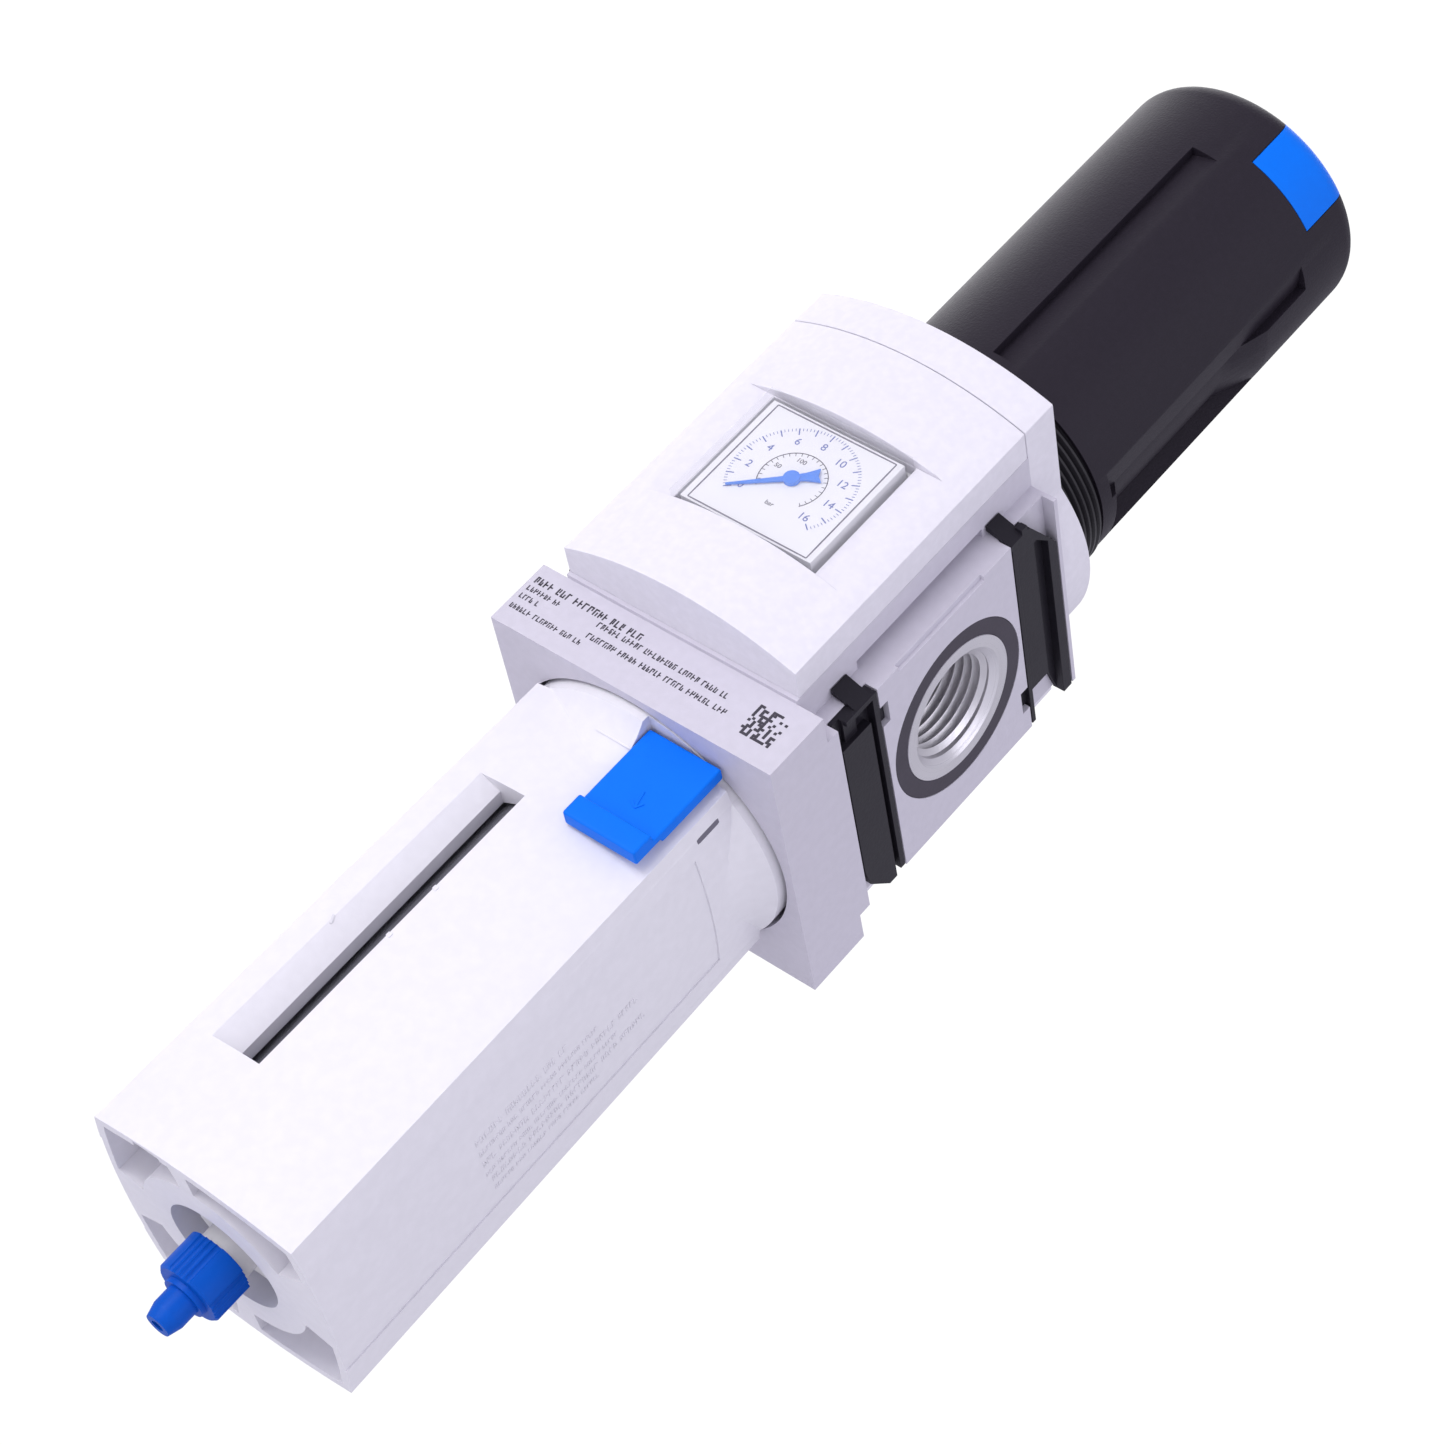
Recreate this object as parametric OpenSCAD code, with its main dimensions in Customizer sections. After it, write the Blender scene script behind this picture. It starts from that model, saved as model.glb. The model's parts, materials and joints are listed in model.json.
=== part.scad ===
// Modular compressed-air filter-regulator: filter bowl and drain below, gauge in front, setting knob on top.
// The origin is on the vertical axis at the top of the head, where the bracket thread starts.
// +Z points to the knob, -Y to the gauge and +X to the outlet port.

/* [Head] */
// Distance between the two port faces
module_w = 62; // [58:1:70]
// Depth of the collar and of the head, front to back
module_d = 62; // [58:1:70]
// Height of the head from the collar's underside to the top
head_h = 86; // [84:1:104]
// Height of the square collar above the bowl
collar_h = 14; // [12:0.5:18]
// Depth of the port axis below the top of the head
port_drop = 39.8; // [38:0.1:44]
// Depth, front to back, of the block that carries the ports
port_block_d = 49.4; // [46:0.2:54]
// Width of the head behind the covers
core_w = 51; // [48:1:56]
// Height of the ring cap on top of the head
cap_h = 8; // [6:0.5:10]
// Radius of the ring cap
cap_r = 30.4; // [29:0.2:34]

/* [Ports] */
// Major diameter of the G1/2 port thread
port_d = 20.96; // [16:0.02:26.4]
// Depth of the port thread
port_depth = 15; // [12:0.5:16]
// Inner diameter of the flat port seal
seal_inner_d = 28.2; // [27:0.2:30]
// Outer diameter of the flat port seal
seal_outer_d = 35.2; // [34:0.2:38]
// Height of the port seal's groove
seal_t = 2; // [1.5:0.1:3]

/* [Front cover] */
// Width of the front cover
cover_w = 51; // [48:1:56]
// How far the cover's corners stand forward of the head
cover_step = 6.4; // [4:0.2:9]
// How far the cover's middle bulges past its corners
cover_bulge = 5.4; // [2:0.2:8]
// Wall of the plastic covers
cover_wall = 2.4; // [1.6:0.1:3]

/* [Gauge] */
// Width of the gauge window
window_w = 31; // [28:0.5:34]
// Height of the gauge window
window_h = 28.2; // [26:0.2:31]
// Depth of the flat recess around the window, behind the cover's foremost line
recess_depth = 3.7; // [2.5:0.1:4.5]
// How far the window stands out of that recess
window_proud = 3; // [2.6:0.1:3.4]
// Wall of the clear window
lens_t = 0.9; // [0.6:0.1:1.2]
// Length of the needle from pivot to tip
needle_l = 11.4; // [9:0.2:12]

/* [Bowl guard] */
// Width of the guard's foot across the middles of its bulged sides
guard_w = 49; // [46:0.5:52]
// Radius of the bulged sides
guard_side_r = 104; // [90:1:140]
// Lean of the sides towards the top, in degrees
guard_lean = 0.6; // [0:0.1:0.8]
// Height of the guard below the collar
guard_h = 109.2; // [100:0.2:140]
// Gap between the guard's shoulder and the collar
guard_gap = 1.5; // [1.5:0.1:3]
// Radius of the guard's round neck
neck_r = 28.4; // [27.8:0.1:29.4]
// Height of the neck inside the collar
neck_h = 9; // [7:0.5:10]
// Thickness of the guard's outer wall beside its pockets
guard_wall = 1.9; // [1.4:0.1:3]
// Radius of the drain opening in the guard's foot
foot_hole_r = 11.7; // [10.5:0.1:13]
// Width of the sight slot at the surface
slot_w = 13; // [10:0.5:15]
// Height of the sight slot
slot_h = 65; // [50:1:70]

/* [Bowl and filter] */
// Outer radius of the clear bowl
bowl_r = 19.6; // [18:0.1:20]
// Wall of the bowl
bowl_wall = 2.4; // [2:0.1:3]
// Radius of the filter element
element_r = 13.6; // [11:0.1:14.4]
// Length of the filter element
element_h = 54; // [40:1:64]

/* [Drain] */
// Radius of the knurled drain cap
drain_r = 6.4; // [6:0.1:7.7]
// Height of the knurled drain cap
drain_cap_h = 7.8; // [7:0.1:10]
// Radius of the hose nipple
nipple_r = 3.1; // [2.6:0.1:3.6]
// Length of the hose nipple
nipple_h = 7; // [5:0.2:10]

/* [Knob and regulator] */
// Radius of the M52 bracket thread
bracket_r = 26; // [25.8:0.1:29]
// Height of the bracket thread
bracket_h = 10; // [8:0.5:14]
// Radius of the knob
knob_r = 25.6; // [25:0.1:25.7]
// Height of the knob
knob_h = 83; // [78:1:110]
// Radius of the knob's top edge
knob_edge = 5; // [3:0.5:6]
// Depth of the grip grooves
grip_depth = 2; // [1:0.1:2.2]
// Depth of the finger recesses
finger_depth = 3.4; // [2:0.1:3.6]
// Outer radius of the spring tube inside the knob
tube_r = 19.4; // [16.2:0.1:19.6]
// Radius of the setting spindle
spindle_r = 5; // [4:0.1:5.6]
// Travel of the spring nut
nut_travel = 12; // [8:1:16]
// Wire radius of the main spring
wire_r = 1.5; // [1:0.1:1.8]
// Number of turns of the main spring
spring_turns = 8; // [6:1:10]

/* [Clearances] */
// Radial clearance of a turning or sliding fit
fit = 0.06; // [0.03:0.01:0.1]
// Gap between parts that move past each other without touching
gap = 0.4; // [0.3:0.05:0.6]

/* [Hidden] */
$fn = 96;

white = [0.86, 0.86, 0.90];
guard_grey = [0.84, 0.84, 0.87];
blue = [0.0, 0.42, 0.90];
black = [0.14, 0.13, 0.15];
knob_grey = [0.21, 0.19, 0.23];
steel = [0.72, 0.72, 0.74];
clear = [0.80, 0.84, 0.90];

half_w = module_w / 2;
half_d = module_d / 2;
collar_z = -head_h;
core_top = -cap_h;
core_bottom = collar_z + collar_h;
block_back = port_block_d / 2;
front_y = half_d + 0.9;
side_groove = 2;

// Front cover: a convex face whose corners stand forward of the head
cover_bottom = core_bottom + 0.8;
corner_y = front_y + cover_step - 0.2;
apex_y = corner_y + cover_bulge;
cover_r = (cover_w * cover_w / 4 + cover_bulge * cover_bulge) / (2 * cover_bulge);
cover_centre = apex_y - cover_r;

// Gauge, from the recess backwards
recess_y = apex_y - recess_depth;
window_y = recess_y + window_proud;
case_y = recess_y - cover_wall;
dial_t = 0.6;
dial_y = window_y - 1.9;
needle_t = 0.4;
needle_zero = 218.5;
needle_y = dial_y + 0.3;
pin_r = 0.6;
movement_r = 11.5;
movement_d = 3.2;

// Bores of the head
collar_r = neck_r + 0.8;
collar_bore_h = neck_h + gap;
rim_z = collar_z + collar_bore_h;
seal_bore_r = 22;
seal_bore_h = 10;
chamber_z = rim_z + seal_bore_h;
chamber_h = 10;
chamber_top = chamber_z + chamber_h;
chamber_r = 20;
boss_r = 12;
holder_r = 9;
valve_chamber_r = 8;
seat_r = 9;
seat_orifice = 5;
seat_h = 2;
passage_r = 8;
outlet_chamber_r = 10;
seat_top = -port_drop - 5.2;
seat_bottom = seat_top - seat_h;
stem_r = 2.5;
diaphragm_chamber_r = 21;
diaphragm_chamber_h = 6;
diaphragm_r = 27.6;
diaphragm_t = 1;
outlet_top = -port_drop + 7;
inlet_drop_r = 4;
inlet_drop_x = -17;

// Bonnet and regulator
flange_r = 28;
flange_bottom = core_top + diaphragm_t;
flange_top = flange_bottom + 3;
screw_ring_r = 25.6;
screw_r = 1.4;
screw_hole_r = 1.5;
screw_head_r = 1.9;
screw_head_h = 1.6;
bonnet_neck_r = 23;
bonnet_wall = 3;
tube_inner = tube_r - bonnet_wall;
plate_clear = 1.4;
plate_r = tube_inner - plate_clear;
knob_z = bracket_h + 0.5;
knob_top = knob_z + knob_h;
tube_top = knob_top - 19;
tube_lid = 4;
nut_h = 7;
nut_top = tube_top - tube_lid - 3;
nut_bottom = nut_top - nut_h;
nut_r = tube_inner - gap;
key_w = 4;
key_h = 1.2;
spring_seat = flange_bottom + 1.2;
spring_r = 11.5;
hex_r = 6;
hex_h = 8;
head_r = 11;
spindle_head_h = 4;
spindle_bottom = nut_bottom - nut_travel - 6;

// Knob
knob_bore = tube_r + gap;
panel_start = 2.4;
panel_end = 87.4;
groove_angle = 13;
grip_top = knob_top - 18.4;
grip_foot = knob_z + 3;
finger_top = knob_top - 41;
tab_angle = 45;
tab_w = 16.6;
tab_h = 13.8;
tab_reach = 11;
lock_hole_r = 2.2;

// Clips
clip_t = 2.6;
clip_x = half_w - clip_t;
clip_y0 = 0.1 - block_back;
clip_y1 = block_back + 0.3;
clip_upper = [-21, -9.2];
clip_lower = [-68.9, -58.9];
clip_land = 16.4;
clip_plate = -18.7;
clip_foot = [13.8, 18.8];
clip_tab = [-19.4, -14.8];
clip_tab_h = 2;
clip_tab_t = 1.6;
clip_clear = 0.3;

// Guard
guard_bottom = collar_z - guard_h;
shoulder_z = collar_z - guard_gap;
neck_top = collar_z + neck_h;
cavity_r = bowl_r + 1;
floor_h = 8;
flare_h = 11;
flare_r = guard_w / 2 - 1.2;
flare_turn = 60;
guard_mid = guard_w / 2;
panel_depth = 0.35;
panel_front = 15;
panel_back = 13.5;
flange_h = 3;
bowl_flange_r = 24.6;
bowl_flange_z = neck_top - flange_h;
bowl_neck_r = 21.6;
bowl_top = rim_z + seal_bore_h - 2;
slot_x = -11.7;
slot_top = shoulder_z - 20.7;
slot_bevel = 6.4;

// Release slide on the guard's front, right of the middle
slide_x = 12.3;
slide_w = 15.8;
slide_h = 22.4;
slide_top = collar_z - 0.6;
slide_travel = 4.5;
slide_front = 25.6;
slide_t = 2.6;
slide_ridge_h = 4.6;
slide_ridge = 1.6;
slide_foot = 6.5;
slide_foot_t = 1.7;
slide_clear = 0.3;

// Bowl floor and drain
bowl_floor = guard_bottom + floor_h + 0.6;
bowl_floor_t = 3;
drain_shaft_r = 5;
drain_bore = 3.6;
drain_shoulder_r = 8;
drain_shoulder_h = 2.5;
cap_top = guard_bottom - 0.8;
drain_cap_bottom = cap_top - drain_cap_h;
plunger_r = drain_bore - fit;
plunger_top = bowl_floor - 1;
drain_travel = 1.5;
drain_shaft_bottom = drain_cap_bottom + 3;
nut_drain_r = 8.6;
nut_drain_h = 5.4;

// Filter insert
holder_top = seat_bottom - 6.5;
holder_bottom = chamber_z - 1;
tube_core_r = 7.6;
tube_core_bore = 6.3;
element_top = holder_bottom - 3;
element_bottom = element_top - element_h;
poppet_r = 6.6;
poppet_h = 3;
poppet_top = seat_bottom - 0.2;
ledge_z = holder_bottom;
swirl_r = bowl_r - 0.9;

// Solid block centred on the axis
module block(w, d, z0, z1) {
    translate([-w / 2, -d / 2, z0]) cube([w, d, z1 - z0]);
}

// Box given by its lower and upper corners
module box(a, b) {
    translate(a) cube([b[0] - a[0], b[1] - a[1], b[2] - a[2]]);
}

// Vertical cylinder between two heights
module rod(r, z0, z1) {
    translate([0, 0, z0]) cylinder(h = z1 - z0, r = r);
}

// Vertical ring between two heights
module ring(r_out, r_in, z0, z1) {
    difference() {
        rod(r_out, z0, z1);
        rod(r_in, z0 - 1, z1 + 1);
    }
}

// Cylinder along X between two places, at height z
module rod_x(r, x0, x1, z, y = 0) {
    translate([x0, y, z]) rotate([0, 90, 0]) cylinder(h = x1 - x0, r = r);
}

// Cylinder along Y between two places, at height z
module rod_y(r, y0, y1, z, x = 0) {
    translate([x, y0, z]) rotate([-90, 0, 0]) cylinder(h = y1 - y0, r = r);
}

// Cone along X, which chamfers a port
module cone_x(r0, r1, x0, x1, z) {
    translate([x0, 0, z]) rotate([0, 90, 0]) cylinder(h = x1 - x0, r1 = r0, r2 = r1);
}

// Copies its child at both ends of X
module both_ports() {
    children();
    mirror([1, 0, 0]) children();
}

// Wedge of a circle between two angles, measured from the front (-Y) towards +X
module wedge(r, a0, a1, z0, z1) {
    translate([0, 0, z0]) rotate([0, 0, a0 - 90])
        rotate_extrude(angle = a1 - a0) square([r, z1 - z0]);
}

// Space of one module-joining clip in the side of the port block
module clip_space(z) {
    box([clip_x, -block_back - 1, z[0] - clip_clear], [half_w + 1, block_back + 1, z[1] + clip_clear]);
}

// Space of a clip's small side tab
module tab_pocket(y, z0, z1) {
    box([clip_x, y[0] - clip_clear, z0], [half_w + 1, y[1] + clip_clear, z1]);
}

module port_cut() {
    x_seat = half_w - port_depth;
    rod_x(port_d / 2, x_seat, half_w + 1, -port_drop);
    cone_x(port_d / 2, port_d / 2 + 1.3, half_w - 1.3, half_w + 0.001, -port_drop);
    difference() {
        rod_x(seal_outer_d / 2, half_w - seal_t, half_w + 1, -port_drop);
        rod_x(seal_inner_d / 2, half_w - seal_t - 1, half_w + 2, -port_drop);
    }
}

module housing() {
    color(white) difference() {
        union() {
            block(module_w, module_d, collar_z, core_bottom);
            box([-half_w, -block_back, core_bottom], [half_w, block_back, core_top]);
            box([-core_w / 2, -front_y, core_bottom], [core_w / 2, half_d - 3, core_top]);
        }
        both_ports() port_cut();
        both_ports() clip_space(clip_upper);
        both_ports() clip_space(clip_lower);
        both_ports() tab_pocket(clip_foot, clip_upper[0] - clip_tab_h - clip_clear, clip_upper[0]);
        both_ports() tab_pocket(clip_tab, clip_lower[1], clip_lower[1] + clip_tab_h + clip_clear);
        // Groove beside the port block, and the step along the block's front edge
        both_ports() box([core_w / 2 - side_groove, -block_back - 2.1, clip_lower[1] + 2], [core_w / 2 + 1, -block_back, clip_upper[0] - 1]);
        both_ports() box([half_w - 0.8, -block_back - 1, clip_lower[1] + 6], [half_w + 1, 1.2 - block_back, clip_upper[0] - 8]);
        // Mouth for the guard, seat for the bowl and the filter chamber
        rod(collar_r, collar_z - 1, rim_z);
        rod(seal_bore_r, rim_z - 1, chamber_z);
        ring(chamber_r, boss_r, chamber_z - 1, chamber_top);
        rod(boss_r + 0.01, chamber_z - 1, chamber_z + 2);
        // Inlet passage down into the filter chamber
        translate([inlet_drop_x, 0, 0]) rod(inlet_drop_r, chamber_top - 1, -port_drop);
        rod_x(passage_r, -half_w + port_depth - 1, inlet_drop_x + inlet_drop_r, -port_drop);
        // Valve chamber, seat and outlet chamber
        rod(holder_r + fit, chamber_z, holder_top + 0.2);
        rod(valve_chamber_r, holder_top - 1, seat_bottom);
        rod(seat_r, seat_bottom - 0.01, seat_top);
        rod(outlet_chamber_r, seat_top, outlet_top);
        rod_x(passage_r - 1, 0, half_w - port_depth + 1, -port_drop);
        // Stem guide, feedback hole and diaphragm chamber
        rod(stem_r + fit, outlet_top - 1, core_top);
        translate([6, 0, 0]) rod(1.2, outlet_top - 1, core_top);
        rod(diaphragm_chamber_r, core_top - diaphragm_chamber_h, core_top + 1);
        // Gauge movement and its feed
        rod_y(movement_r + 0.6, -front_y - 1, -case_y + movement_d + 4.6, -port_drop);
        bonnet_screw_places() rod(screw_r, core_top - 8, core_top + 1);
    }
}

module cover_face(grow, z0, z1) {
    translate([0, -cover_centre, z0]) cylinder(h = z1 - z0, r = cover_r + grow, $fn = 360);
}

module front_cover() {
    color(white) difference() {
        intersection() {
            box([-cover_w / 2, -apex_y - 1, cover_bottom], [cover_w / 2, -front_y, core_top - 0.2]);
            cover_face(0, cover_bottom, core_top);
        }
        intersection() {
            box([-cover_w / 2 + cover_wall, -recess_y + cover_wall, cover_bottom + cover_wall],
                [cover_w / 2 - cover_wall, -front_y + 1, core_top - 0.2 - cover_wall]);
            cover_face(-cover_wall, cover_bottom, core_top);
        }
        box([-cover_w, -apex_y - 1, -port_drop - window_h / 2 - 0.3],
            [cover_w, -recess_y, -port_drop + window_h / 2 + 0.3]);
        window_hole(0.15);
    }
}

module window_hole(clear) {
    w = window_w / 2 + clear;
    h = window_h / 2 + clear;
    box([-w, -apex_y - 1, -port_drop - h], [w, -front_y - 1, -port_drop + h]);
}

module top_cap() {
    color(white) difference() {
        union() {
            rod(cap_r, core_top, 0);
            intersection() {
                box([-cover_w / 2, -apex_y - 1, core_top], [cover_w / 2, 0, 0]);
                cover_face(0, core_top, 0);
            }
        }
        rod(bracket_r + gap, core_top - 1, 1);
        rod(flange_r + gap, core_top - 1, flange_top + 0.4);
        bonnet_screw_places() rod(screw_head_r + 0.4, core_top - 1, flange_top + 2.4);
    }
}

module back_cover() {
    color(white) difference() {
        box([-core_w / 2, half_d - 3, core_bottom + 0.8], [core_w / 2, half_d, core_top - 0.6]);
        back_screw_places() rod_y(1.7, -1, 4, 0);
        back_screw_places() rod_y(3.2, 1.4, 4, 0);
    }
}

module back_screw_places() {
    for (x = [-1, 1], z = [core_bottom + 7, core_top - 7])
        translate([x * (core_w / 2 - 6), half_d - 3, z]) children();
}

module back_cover_screws() {
    color(steel) back_screw_places() difference() {
        union() {
            rod_y(1.6, 0, 1.4, 0);
            rod_y(3, 1.4, 2.8, 0);
        }
        translate([0, 1.8, 0]) rotate([-90, 0, 0]) cylinder(h = 2, r = 1.4, $fn = 6);
    }
}

module port_seal() {
    difference() {
        rod_x(seal_outer_d / 2, half_w - seal_t, half_w, -port_drop);
        rod_x(seal_inner_d / 2, half_w - seal_t - 1, half_w + 1, -port_drop);
    }
}

module port_seal_outlet() {
    color(black) port_seal();
}

module port_seal_inlet() {
    color(black) mirror([1, 0, 0]) port_seal();
}

// Flat plate between two places along X, from an outline given as [y, z]
module plate_x(x0, x1, outline) {
    translate([x0, 0, 0]) rotate([90, 0, 90]) linear_extrude(x1 - x0) polygon(outline);
}

// Slanted hook that reaches round the front corner of the port block
module clip_hook(z0, z1) {
    translate([0, 0, z0]) linear_extrude(z1 - z0) polygon([
        [half_w, clip_y0], [core_w / 2 + 0.2, clip_y0 - 2.3], [core_w / 2 + 0.2, clip_y0 - 1],
        [clip_x - 0.2, clip_y0 - 0.3], [clip_x, clip_y0 + 1.2], [half_w, clip_y0 + 1.2]
    ]);
}

// Upper rail: a flat land, an open slot and a rim whose front corner is cut off
module clip_up() {
    z0 = clip_upper[0];
    z1 = clip_upper[1];
    plate_x(clip_x, clip_x + 0.9, [
        [clip_y0, z0], [clip_y1 - 0.8, z0], [clip_y1 - 0.8, z0 + 2], [clip_land, z0 + 2.4], [clip_land, z0 + 7],
        [clip_y1, z1 - 2.2], [clip_y1, z1], [clip_y0 + 10, z1], [clip_y0, z1 - 6.6]
    ]);
    plate_x(clip_x, half_w - 0.5, [
        [clip_y0 + 2, z0 + 0.2], [clip_land, z0 + 0.2], [clip_land, z0 + 6.4], [clip_y0 + 2, z0 + 6.4]
    ]);
    plate_x(clip_x, half_w, [
        [clip_y0, z0], [clip_y0 + 4.6, z0], [clip_y0 + 4.6, z0 + 6.6], [clip_y0 + 7.6, z1 - 2.3], [clip_y1, z1 - 2.3],
        [clip_y1, z1], [clip_y0 + 10, z1], [clip_y0, z1 - 6.6]
    ]);
    box([clip_x, clip_y0, z0], [half_w, clip_y1 - 0.8, z0 + 1]);
    box([clip_x, clip_foot[0], z0 - clip_tab_h], [clip_x + clip_tab_t, clip_foot[1], z0 + 1]);
    clip_hook(z0 - 0.2, z0 + 3.6);
    box([half_w - 1.4, clip_y0 - 1.2, z0 + 3], [half_w, clip_y0 + 1, z0 + 4.6]);
}

// Lower rail: a raised plate with cut corners, a narrow groove and a thin rim
module clip_low() {
    z0 = clip_lower[0];
    z1 = clip_lower[1];
    plate = [
        [clip_plate, z0], [clip_land - 0.8, z0], [clip_land + 3.6, z0 + 0.9], [clip_y1, z0 + 5.5],
        [clip_y1, z1 - 2.4], [clip_plate, z1 - 2.4]
    ];
    plate_x(clip_x, half_w, plate);
    box([clip_x, clip_y0, z0], [clip_x + 0.9, clip_land, z1]);
    box([clip_x, clip_y0, z1 - 1.2], [half_w, clip_y1 - 0.8, z1]);
    box([clip_x, clip_land - 1, z1 - 3], [clip_x + 0.9, clip_y1 - 0.8, z1]);
    box([clip_x, clip_y0, z0 + 1.9], [half_w, clip_y0 + 1.2, z1]);
    box([clip_x, clip_y0, z0 + 1.8], [half_w - 0.9, clip_plate, z0 + 5]);
    box([clip_x, clip_tab[0], z1 - 1], [clip_x + clip_tab_t, clip_tab[1], z1 + clip_tab_h]);
    clip_hook(z0 + 4.7, z0 + 8.9);
}

module clip_outlet_upper() {
    color(black) clip_up();
}

module clip_outlet_lower() {
    color(black) clip_low();
}

module clip_inlet_upper() {
    color(black) mirror([1, 0, 0]) clip_up();
}

module clip_inlet_lower() {
    color(black) mirror([1, 0, 0]) clip_low();
}

module gauge_case() {
    w = window_w / 2;
    h = window_h / 2;
    color(white) difference() {
        union() {
            box([-w - 1.4, -case_y, -port_drop - h - 1.2], [w + 1.4, -case_y + 2, -port_drop + h + 1.2]);
            box([-w + lens_t + 0.3, -dial_y + dial_t, -port_drop - h + lens_t + 0.3],
                [w - lens_t - 0.3, -case_y + 0.5, -port_drop + h - lens_t - 0.3]);
            rod_y(movement_r, -case_y + 1, -case_y + movement_d + 4, -port_drop);
        }
        rod_y(pin_r + fit, -dial_y - 1, -case_y + movement_d, -port_drop);
    }
}

module gauge_dial() {
    w = window_w / 2 - lens_t - 0.3;
    h = window_h / 2 - lens_t - 0.3;
    color("white") difference() {
        box([-w, -dial_y, -port_drop - h], [w, -dial_y + dial_t, -port_drop + h]);
        rod_y(pin_r + fit, -dial_y - 1, -dial_y + 1, -port_drop);
    }
}

// The needle points at zero, at the lower left of the dial
module gauge_needle() {
    color(blue) {
        translate([0, -needle_y, -port_drop]) rotate([90, -needle_zero, 0]) linear_extrude(needle_t)
            polygon([
                [needle_l, 0.12], [1.6, 0.5], [-2.5, 0.8], [-5, 1.5], [-4.6, 0],
                [-5, -1.5], [-2.5, -0.8], [1.6, -0.5], [needle_l, -0.12]
            ]);
        rod_y(1.5, -needle_y - needle_t - 0.2, -needle_y + 0.2, -port_drop);
        rod_y(pin_r, -needle_y - 0.1, -case_y + movement_d - 0.4, -port_drop);
    }
}

module gauge_window() {
    w = window_w / 2;
    h = window_h / 2;
    color(clear) difference() {
        box([-w, -window_y, -port_drop - h], [w, -case_y, -port_drop + h]);
        box([-w + lens_t, -window_y + lens_t, -port_drop - h + lens_t],
            [w - lens_t, -case_y + 1, -port_drop + h - lens_t]);
    }
}

module bonnet_screw_places() {
    for (i = [0:3]) rotate([0, 0, 45 + 90 * i]) translate([screw_ring_r, 0, 0]) children();
}

module bonnet() {
    color(black) difference() {
        union() {
            rod(flange_r, flange_bottom, flange_top);
            rod(bonnet_neck_r, flange_top - 1, 1);
            rod(bracket_r, 0, bracket_h);
            rod(tube_r, 1, tube_top);
        }
        rod(tube_inner, flange_bottom - 1, tube_top - tube_lid);
        rod(spindle_r + fit, 0, tube_top + 1);
        rod(bracket_r - bonnet_wall - 0.6, 1, bracket_h - 4);
        for (a = [0, 180]) rotate([0, 0, a])
            box([0, -key_w / 2 - gap, nut_bottom - nut_travel - 2],
                [tube_inner + key_h + gap, key_w / 2 + gap, tube_top - tube_lid]);
        bonnet_screw_places() rod(screw_hole_r, flange_bottom - 1, flange_top + 1);
    }
}

module bonnet_screws() {
    color(steel) bonnet_screw_places() {
        rod(screw_r, core_top - 7, flange_top);
        rod(screw_head_r, flange_top, flange_top + screw_head_h);
    }
}

// Outer form of the knob, rounded at the top
module knob_form() {
    rotate_extrude() {
        translate([0, knob_z]) square([knob_r, knob_h - knob_edge]);
        translate([0, knob_z]) square([knob_r - knob_edge, knob_h]);
        translate([knob_r - knob_edge, knob_top - knob_edge]) intersection() {
            circle(r = knob_edge);
            square(knob_edge);
        }
    }
}

// Point at a radius and an angle, measured from the front (-Y) towards +X
function polar(r, a) = [r * sin(a), -r * cos(a)];

// Groove whose floor ramps up from a deep wall at one angle to the surface at another
module grip_groove(deep, shallow) {
    translate([0, 0, grip_foot]) linear_extrude(grip_top - grip_foot) polygon([
        polar(knob_r - grip_depth, deep), polar(knob_r + 3, deep), polar(knob_r + 3, shallow),
        polar(knob_r + 0.05, shallow)
    ]);
}

// Finger recess whose ends slope up to the surface
module finger_recess(a0, a1) {
    rotate([0, 0, a0 - 90]) rotate_extrude(angle = a1 - a0) polygon([
        [knob_r + 1, grip_foot], [knob_r - finger_depth, grip_foot + 5],
        [knob_r - finger_depth, finger_top], [knob_r + 1, finger_top + 13]
    ]);
}

// Block at the knob's top edge that the lock tab fills
module tab_space(grow) {
    half = tab_w / 2 + grow;
    rotate([0, 0, tab_angle - 90])
        box([knob_r - tab_reach - grow, -half, knob_top - tab_h - grow], [knob_r + 2, half, knob_top + 1]);
}

module knob() {
    color(knob_grey) difference() {
        knob_form();
        rod(knob_bore, knob_z - 1, tube_top + spindle_head_h + 1);
        for (side = [0, 180]) {
            grip_groove(side + panel_start, side + panel_start + groove_angle);
            grip_groove(side + panel_end, side + panel_end - groove_angle);
            finger_recess(side + panel_end - 0.2, side + 122);
        }
        translate([0, 0, tube_top + spindle_head_h]) cylinder(h = hex_h + 1.6, r = hex_r + gap, $fn = 6);
        tab_space(0.15);
    }
}

module lock_tab() {
    color(blue) difference() {
        intersection() {
            tab_space(0);
            knob_form();
        }
        for (side = [-1, 1]) rotate([0, 0, tab_angle - 90])
            translate([knob_r - 2.4, side * tab_w / 2, knob_top - tab_h + 2]) rotate([0, 0, 45])
                translate([-0.7, -0.7, 0]) cube([1.4, 1.4, 1.2]);
        rotate([0, 0, tab_angle - 90]) translate([knob_r - tab_reach + 3.2, 0, knob_top - 12])
            cylinder(h = 20, r = lock_hole_r);
    }
}

module spindle() {
    color(steel) {
        rod(spindle_r, spindle_bottom, tube_top + 1);
        rod(head_r, tube_top + 0.1, tube_top + spindle_head_h - 0.4);
        translate([0, 0, tube_top + 1]) cylinder(h = spindle_head_h + hex_h - 1, r = hex_r, $fn = 6);
    }
}

module spring_nut() {
    color("gold") difference() {
        union() {
            rod(nut_r, nut_bottom, nut_top);
            for (a = [0, 180]) rotate([0, 0, a])
                box([0, -key_w / 2, nut_bottom], [tube_inner + key_h, key_w / 2, nut_top]);
        }
        rod(spindle_r + fit, nut_bottom - 1, nut_top + 1);
    }
}

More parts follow.
